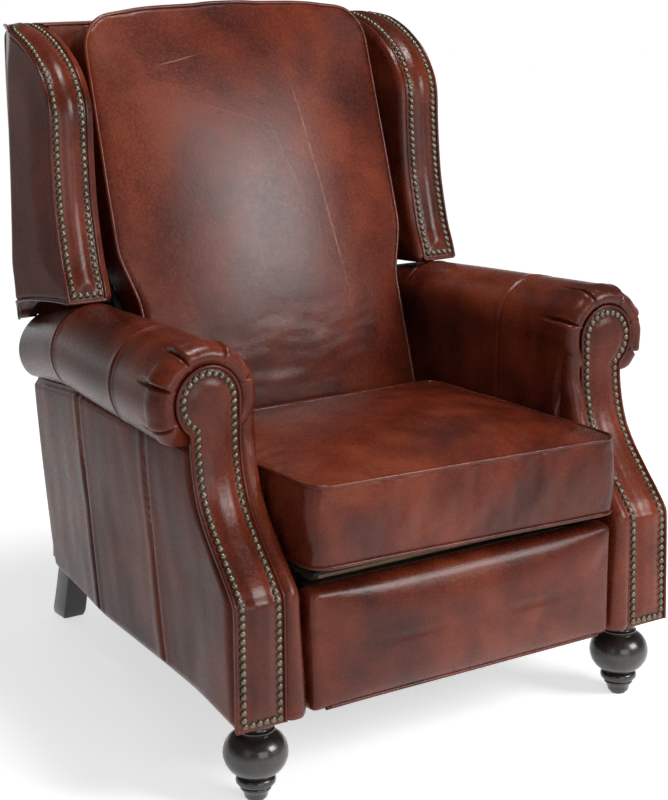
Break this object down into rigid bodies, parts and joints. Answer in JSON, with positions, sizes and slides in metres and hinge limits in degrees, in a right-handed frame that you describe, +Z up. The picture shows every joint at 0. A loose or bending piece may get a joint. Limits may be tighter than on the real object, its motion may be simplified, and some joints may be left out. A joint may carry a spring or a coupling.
{
  "type": "wingback recliner",
  "caption": "Wingback push-back recliner in padded leather with rolled arms, nailed facings, wings, turned front feet, a folding footrest and a reclining back.",
  "frame": {"origin": "on the floor, under the middle of the chair's closed outline", "axes": "+Z up, the seat faces -Y, +X is to the right seen from the front; the chair is symmetric in X"},
  "size_m": [0.894, 0.88, 1.082],
  "materials": {
    "cushion_leather": "glossy, mottled red-brown, waxed",
    "panel_leather": "glossy, mottled dark red-brown, waxed",
    "dark_wood": "dark espresso satin varnish",
    "frame_wood": "bare plywood and beech",
    "steel": "black powder coat",
    "nail_metal": "antique brass, dark in the recesses",
    "webbing": "woven polypropylene and black cambric",
    "nylon": "black nylon"
  },
  "bodies": {
    "base": {"front_left_foot": "dark_wood", "front_right_foot": "dark_wood", "rear_left_leg": "dark_wood", "rear_right_leg": "dark_wood", "foot_glides": "nylon", "rear_rail": "frame_wood", "cross_rail": "frame_wood", "base_back_panel": "panel_leather", "dust_cover": "webbing", "mechanism_cleats": "frame_wood", "slide_rails": "steel", "left_arm_frame": "frame_wood", "right_arm_frame": "frame_wood", "left_arm_lining": "panel_leather", "right_arm_lining": "panel_leather", "left_arm_roll": "panel_leather", "right_arm_roll": "panel_leather", "left_side_panel": "panel_leather", "right_side_panel": "panel_leather", "left_arm_facing": "panel_leather", "right_arm_facing": "panel_leather", "left_arm_nails": "nail_metal", "right_arm_nails": "nail_metal"},
    "seat": {"seat_side_rails": "frame_wood", "seat_cross_rails": "frame_wood", "seat_webbing": "webbing", "seat_deck": "webbing", "seat_cushion": "cushion_leather", "mechanism_side_plates": "steel", "seat_runners": "steel", "pivot_studs": "steel"},
    "first_link": {"first_links": "steel", "torque_tube": "steel"},
    "first_cross_link": {"first_cross_links": "steel"},
    "second_link": {"second_links": "steel"},
    "second_cross_link": {"second_cross_links": "steel"},
    "third_link": {"third_links": "steel"},
    "third_cross_link": {"third_cross_links": "steel"},
    "footrest": {"footrest_board": "frame_wood", "footrest_pad": "cushion_leather", "footrest_brackets": "steel"},
    "back": {"back_side_frames": "frame_wood", "back_rails": "frame_wood", "back_webbing": "webbing", "back_cushion": "cushion_leather", "outside_back_panel": "panel_leather", "left_wing_frame": "frame_wood", "right_wing_frame": "frame_wood", "left_wing_lining": "panel_leather", "right_wing_lining": "panel_leather", "left_wing_outer_panel": "panel_leather", "right_wing_outer_panel": "panel_leather", "left_wing_facing": "panel_leather", "right_wing_facing": "panel_leather", "left_wing_nails": "nail_metal", "right_wing_nails": "nail_metal", "back_brackets": "steel", "back_pivot_bolts": "steel"}
  },
  "joints": [
    {"name": "seat_glide", "type": "slide", "parent": "base", "child": "seat", "axis": [0, -1, 0], "range_m": [0, 0.03]},
    {"name": "back_recline", "type": "hinge", "parent": "seat", "child": "back", "pos_m": [0, 0.25, 0.33], "axis": [-1, 0, 0], "range_deg": [0, 32]},
    {"name": "footrest_open", "type": "hinge", "parent": "seat", "child": "first_link", "pos_m": [0, -0.262, 0.28], "axis": [-1, 0, 0], "range_deg": [0, 65]},
    {"name": "first_cross_turn", "type": "hinge", "parent": "first_link", "child": "first_cross_link", "pos_m": [0, -0.28276, 0.2121], "axis": [-1, 0, 0], "range_deg": [-130, 0]},
    {"name": "second_cross_turn", "type": "hinge", "parent": "first_link", "child": "second_cross_link", "pos_m": [0, -0.30352, 0.1442], "axis": [-1, 0, 0], "range_deg": [-130, 0]},
    {"name": "second_turn", "type": "hinge", "parent": "first_cross_link", "child": "second_link", "pos_m": [0, -0.28895, 0.28283], "axis": [-1, 0, 0], "range_deg": [0, 130]},
    {"name": "third_turn", "type": "hinge", "parent": "second_cross_link", "child": "third_link", "pos_m": [0, -0.31589, 0.28566], "axis": [-1, 0, 0], "range_deg": [0, 130]},
    {"name": "third_cross_turn", "type": "hinge", "parent": "third_link", "child": "third_cross_link", "pos_m": [0, -0.33665, 0.21777], "axis": [-1, 0, 0], "range_deg": [-130, 0]},
    {"name": "footrest_turn", "type": "hinge", "parent": "third_cross_link", "child": "footrest", "pos_m": [0, -0.34284, 0.2885], "axis": [-1, 0, 0], "range_deg": [0, 155]}
  ],
  "couplings": [
    {"joint": "seat_glide", "follows": "back_recline", "m_per_rad": 0.053715},
    {"joint": "first_cross_turn", "follows": "footrest_open", "ratio": -2},
    {"joint": "second_cross_turn", "follows": "footrest_open", "ratio": -2},
    {"joint": "second_turn", "follows": "footrest_open", "ratio": 2},
    {"joint": "third_turn", "follows": "footrest_open", "ratio": 2},
    {"joint": "third_cross_turn", "follows": "footrest_open", "ratio": -2},
    {"joint": "footrest_turn", "follows": "footrest_open", "ratio": 2.3846}
  ]
}
